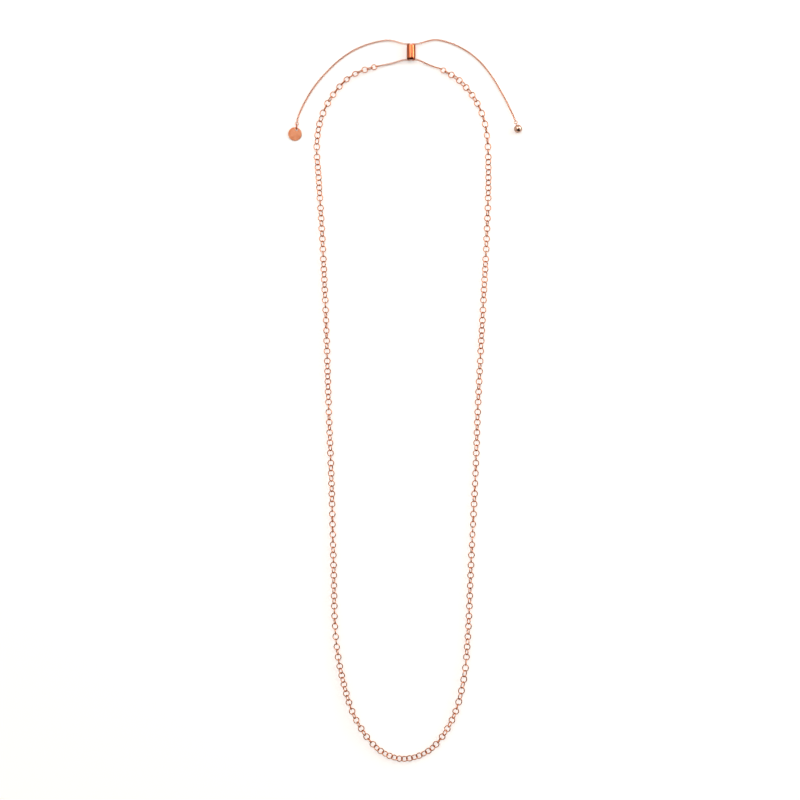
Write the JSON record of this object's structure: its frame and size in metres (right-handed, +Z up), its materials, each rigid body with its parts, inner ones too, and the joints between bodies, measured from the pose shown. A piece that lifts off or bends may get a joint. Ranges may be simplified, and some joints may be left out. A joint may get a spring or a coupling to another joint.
{
  "type": "chain necklace",
  "caption": "Adjustable necklace laid flat: a long loop of round belcher links, closed through a tubular slider by fine chains that end in a disc tag and a ball.",
  "frame": {"origin": "on the surface that the necklace lies on, under the middle of its outline", "axes": "+Y along the necklace towards the slider, +X to the right with the slider at the top, +Z up from the surface"},
  "size_m": [0.1169, 0.3616, 0.0043],
  "materials": {
    "chain_metal": "polished rose gold plate",
    "slider_metal": "high polished rose gold plate",
    "tag_metal": "satin rose gold plate",
    "grip_rubber": "matt silicone"
  },
  "bodies": {
    "slider": {"slider_sleeve": "slider_metal", "slider_grip": "grip_rubber"},
    "left_strand": {"left_chain_in_slider": "chain_metal"},
    "left_shoulder": {"left_fine_chain": "chain_metal", "left_end_ring": "chain_metal", "left_shoulder_links": "chain_metal"},
    "left_links_01": {"left_links_01": "chain_metal"},
    "left_links_02": {"left_links_02": "chain_metal"},
    "left_links_03": {"left_links_03": "chain_metal"},
    "left_links_04": {"left_links_04": "chain_metal"},
    "left_links_05": {"left_links_05": "chain_metal"},
    "left_links_06": {"left_links_06": "chain_metal"},
    "left_links_07": {"left_links_07": "chain_metal"},
    "left_links_08": {"left_links_08": "chain_metal"},
    "left_links_09": {"left_links_09": "chain_metal"},
    "left_links_10": {"left_links_10": "chain_metal"},
    "left_links_11": {"left_links_11": "chain_metal"},
    "left_links_12": {"left_links_12": "chain_metal"},
    "left_links_13": {"left_links_13": "chain_metal"},
    "right_strand": {"right_chain_in_slider": "chain_metal"},
    "right_shoulder": {"right_fine_chain": "chain_metal", "right_end_ring": "chain_metal", "right_shoulder_links": "chain_metal"},
    "right_links_01": {"right_links_01": "chain_metal"},
    "right_links_02": {"right_links_02": "chain_metal"},
    "right_links_03": {"right_links_03": "chain_metal"},
    "right_links_04": {"right_links_04": "chain_metal"},
    "right_links_05": {"right_links_05": "chain_metal"},
    "right_links_06": {"right_links_06": "chain_metal"},
    "right_links_07": {"right_links_07": "chain_metal"},
    "right_links_08": {"right_links_08": "chain_metal"},
    "right_links_09": {"right_links_09": "chain_metal"},
    "right_links_10": {"right_links_10": "chain_metal"},
    "right_links_11": {"right_links_11": "chain_metal"},
    "right_links_12": {"right_links_12": "chain_metal"},
    "right_links_13": {"right_links_13": "chain_metal"},
    "bottom_links": {"bottom_links": "chain_metal"},
    "left_tail_1": {"left_tail_1": "chain_metal"},
    "left_tail_2": {"left_tail_2": "chain_metal"},
    "left_tail_3": {"left_tail_3": "chain_metal"},
    "right_tail_1": {"right_tail_1": "chain_metal"},
    "right_tail_2": {"right_tail_2": "chain_metal"},
    "right_tail_3": {"right_tail_3": "chain_metal"},
    "tag_ring": {"tag_ring": "chain_metal"},
    "disc_tag": {"disc_tag": "tag_metal"},
    "ball": {"ball": "slider_metal"}
  },
  "joints": [
    {"name": "slider_travel", "type": "slide", "parent": "slider", "child": "left_strand", "axis": [0, -1, 0], "range_m": [0, 0.0055]},
    {"name": "slider_travel_right", "type": "slide", "parent": "slider", "child": "right_strand", "axis": [0, -1, 0], "range_m": [0, 0.0055]},
    {"name": "mouth_fold", "type": "hinge", "parent": "left_strand", "child": "left_shoulder", "pos_m": [0.00323, 0.16993, 0.00215], "axis": [1, 0, 0], "range_deg": [-60, 60]},
    {"name": "fold_01", "type": "hinge", "parent": "left_shoulder", "child": "left_links_01", "pos_m": [-0.0389, 0.147, 0.00165], "axis": [-1, 0, 0], "range_deg": [-60, 60]},
    {"name": "fold_02", "type": "hinge", "parent": "left_links_01", "child": "left_links_02", "pos_m": [-0.04364, 0.125, 0.00165], "axis": [-1, 0, 0], "range_deg": [-60, 60]},
    {"name": "fold_03", "type": "hinge", "parent": "left_links_02", "child": "left_links_03", "pos_m": [-0.04196, 0.0995, 0.00165], "axis": [1, 0, 0], "range_deg": [-60, 60]},
    {"name": "fold_04", "type": "hinge", "parent": "left_links_03", "child": "left_links_04", "pos_m": [-0.04049, 0.074, 0.00165], "axis": [1, 0, 0], "range_deg": [-60, 60]},
    {"name": "fold_05", "type": "hinge", "parent": "left_links_04", "child": "left_links_05", "pos_m": [-0.03933, 0.0485, 0.00165], "axis": [-1, 0, 0], "range_deg": [-60, 60]},
    {"name": "fold_06", "type": "hinge", "parent": "left_links_05", "child": "left_links_06", "pos_m": [-0.03846, 0.023, 0.00165], "axis": [-1, 0, 0], "range_deg": [-60, 60]},
    {"name": "fold_07", "type": "hinge", "parent": "left_links_06", "child": "left_links_07", "pos_m": [-0.03771, -0.0025, 0.00165], "axis": [1, 0, 0], "range_deg": [-60, 60]},
    {"name": "fold_08", "type": "hinge", "parent": "left_links_07", "child": "left_links_08", "pos_m": [-0.03672, -0.028, 0.00165], "axis": [1, 0, 0], "range_deg": [-60, 60]},
    {"name": "fold_09", "type": "hinge", "parent": "left_links_08", "child": "left_links_09", "pos_m": [-0.03594, -0.0535, 0.00165], "axis": [-1, 0, 0], "range_deg": [-60, 60]},
    {"name": "fold_10", "type": "hinge", "parent": "left_links_09", "child": "left_links_10", "pos_m": [-0.03533, -0.079, 0.00165], "axis": [-1, 0, 0], "range_deg": [-60, 60]},
    {"name": "fold_11", "type": "hinge", "parent": "left_links_10", "child": "left_links_11", "pos_m": [-0.03484, -0.1045, 0.00165], "axis": [1, 0, 0], "range_deg": [-60, 60]},
    {"name": "fold_12", "type": "hinge", "parent": "left_links_11", "child": "left_links_12", "pos_m": [-0.0327, -0.13, 0.00165], "axis": [1, 0, 0], "range_deg": [-60, 60]},
    {"name": "fold_13", "type": "hinge", "parent": "left_links_12", "child": "left_links_13", "pos_m": [-0.02709, -0.1525, 0.00165], "axis": [-1, 0, 0], "range_deg": [-60, 60]},
    {"name": "mouth_fold_right", "type": "hinge", "parent": "right_strand", "child": "right_shoulder", "pos_m": [0.00387, 0.16993, 0.00215], "axis": [1, 0, 0], "range_deg": [-60, 60]},
    {"name": "fold_01_right", "type": "hinge", "parent": "right_shoulder", "child": "right_links_01", "pos_m": [0.03734, 0.147, 0.00165], "axis": [-1, 0, 0], "range_deg": [-60, 60]},
    {"name": "fold_02_right", "type": "hinge", "parent": "right_links_01", "child": "right_links_02", "pos_m": [0.04203, 0.125, 0.00165], "axis": [-1, 0, 0], "range_deg": [-60, 60]},
    {"name": "fold_03_right", "type": "hinge", "parent": "right_links_02", "child": "right_links_03", "pos_m": [0.04203, 0.0995, 0.00165], "axis": [1, 0, 0], "range_deg": [-60, 60]},
    {"name": "fold_04_right", "type": "hinge", "parent": "right_links_03", "child": "right_links_04", "pos_m": [0.04103, 0.074, 0.00165], "axis": [1, 0, 0], "range_deg": [-60, 60]},
    {"name": "fold_05_right", "type": "hinge", "parent": "right_links_04", "child": "right_links_05", "pos_m": [0.03966, 0.0485, 0.00165], "axis": [-1, 0, 0], "range_deg": [-60, 60]},
    {"name": "fold_06_right", "type": "hinge", "parent": "right_links_05", "child": "right_links_06", "pos_m": [0.03828, 0.023, 0.00165], "axis": [-1, 0, 0], "range_deg": [-60, 60]},
    {"name": "fold_07_right", "type": "hinge", "parent": "right_links_06", "child": "right_links_07", "pos_m": [0.03699, -0.0025, 0.00165], "axis": [1, 0, 0], "range_deg": [-60, 60]},
    {"name": "fold_08_right", "type": "hinge", "parent": "right_links_07", "child": "right_links_08", "pos_m": [0.03607, -0.028, 0.00165], "axis": [1, 0, 0], "range_deg": [-60, 60]},
    {"name": "fold_09_right", "type": "hinge", "parent": "right_links_08", "child": "right_links_09", "pos_m": [0.03495, -0.0535, 0.00165], "axis": [-1, 0, 0], "range_deg": [-60, 60]},
    {"name": "fold_10_right", "type": "hinge", "parent": "right_links_09", "child": "right_links_10", "pos_m": [0.03365, -0.079, 0.00165], "axis": [-1, 0, 0], "range_deg": [-60, 60]},
    {"name": "fold_11_right", "type": "hinge", "parent": "right_links_10", "child": "right_links_11", "pos_m": [0.03262, -0.1045, 0.00165], "axis": [1, 0, 0], "range_deg": [-60, 60]},
    {"name": "fold_12_right", "type": "hinge", "parent": "right_links_11", "child": "right_links_12", "pos_m": [0.0311, -0.13, 0.00165], "axis": [1, 0, 0], "range_deg": [-60, 60]},
    {"name": "fold_13_right", "type": "hinge", "parent": "right_links_12", "child": "right_links_13", "pos_m": [0.02689, -0.1525, 0.00165], "axis": [-1, 0, 0], "range_deg": [-60, 60]},
    {"name": "bottom_fold", "type": "hinge", "parent": "left_links_13", "child": "bottom_links", "pos_m": [-0.01777, -0.1695, 0.00165], "axis": [-1, 0, 0], "range_deg": [-60, 60]},
    {"name": "left_tail_lift_1", "type": "hinge", "parent": "slider", "child": "left_tail_1", "pos_m": [0.00323, 0.17787, 0.00215], "axis": [-1, 0, 0], "range_deg": [-60, 60]},
    {"name": "left_tail_lift_2", "type": "hinge", "parent": "left_tail_1", "child": "left_tail_2", "pos_m": [-0.02196, 0.17663, 0.00058], "axis": [-0.4013, 0.9159, 0], "range_deg": [-60, 60]},
    {"name": "left_tail_lift_3", "type": "hinge", "parent": "left_tail_2", "child": "left_tail_3", "pos_m": [-0.04213, 0.16044, 0.0006], "axis": [0.7633, -0.646, 0], "range_deg": [-60, 60]},
    {"name": "right_tail_lift_1", "type": "hinge", "parent": "slider", "child": "right_tail_1", "pos_m": [0.00387, 0.17787, 0.00215], "axis": [-1, 0, 0], "range_deg": [-60, 60]},
    {"name": "right_tail_lift_2", "type": "hinge", "parent": "right_tail_1", "child": "right_tail_2", "pos_m": [0.02755, 0.17691, 0.00058], "axis": [-0.4432, -0.8964, 0], "range_deg": [-60, 60]},
    {"name": "right_tail_lift_3", "type": "hinge", "parent": "right_tail_2", "child": "right_tail_3", "pos_m": [0.04523, 0.16011, 0.0006], "axis": [0.8422, 0.5392, 0], "range_deg": [-60, 60]},
    {"name": "tag_ring_swing", "type": "hinge", "parent": "left_tail_3", "child": "tag_ring", "pos_m": [-0.0537, 0.1375, 0.0013], "axis": [-1, 0, 0], "range_deg": [-45, 45]},
    {"name": "tag_flip", "type": "hinge", "parent": "tag_ring", "child": "disc_tag", "pos_m": [-0.0537, 0.13661, 0.00165], "axis": [-1, 0, 0], "range_deg": [-40, 80]},
    {"name": "ball_swing", "type": "hinge", "parent": "right_tail_3", "child": "ball", "pos_m": [0.0561, 0.1381, 0.002], "axis": [-0.9457, -0.325, 0], "range_deg": [-60, 60]}
  ],
  "couplings": [
    {"joint": "slider_travel_right", "follows": "slider_travel", "ratio": 1},
    {"joint": "mouth_fold_right", "follows": "mouth_fold", "ratio": 1},
    {"joint": "fold_01_right", "follows": "fold_01", "ratio": 1},
    {"joint": "fold_02_right", "follows": "fold_02", "ratio": 1},
    {"joint": "fold_03_right", "follows": "fold_03", "ratio": 1},
    {"joint": "fold_04_right", "follows": "fold_04", "ratio": 1},
    {"joint": "fold_05_right", "follows": "fold_05", "ratio": 1},
    {"joint": "fold_06_right", "follows": "fold_06", "ratio": 1},
    {"joint": "fold_07_right", "follows": "fold_07", "ratio": 1},
    {"joint": "fold_08_right", "follows": "fold_08", "ratio": 1},
    {"joint": "fold_09_right", "follows": "fold_09", "ratio": 1},
    {"joint": "fold_10_right", "follows": "fold_10", "ratio": 1},
    {"joint": "fold_11_right", "follows": "fold_11", "ratio": 1},
    {"joint": "fold_12_right", "follows": "fold_12", "ratio": 1},
    {"joint": "fold_13_right", "follows": "fold_13", "ratio": 1}
  ]
}
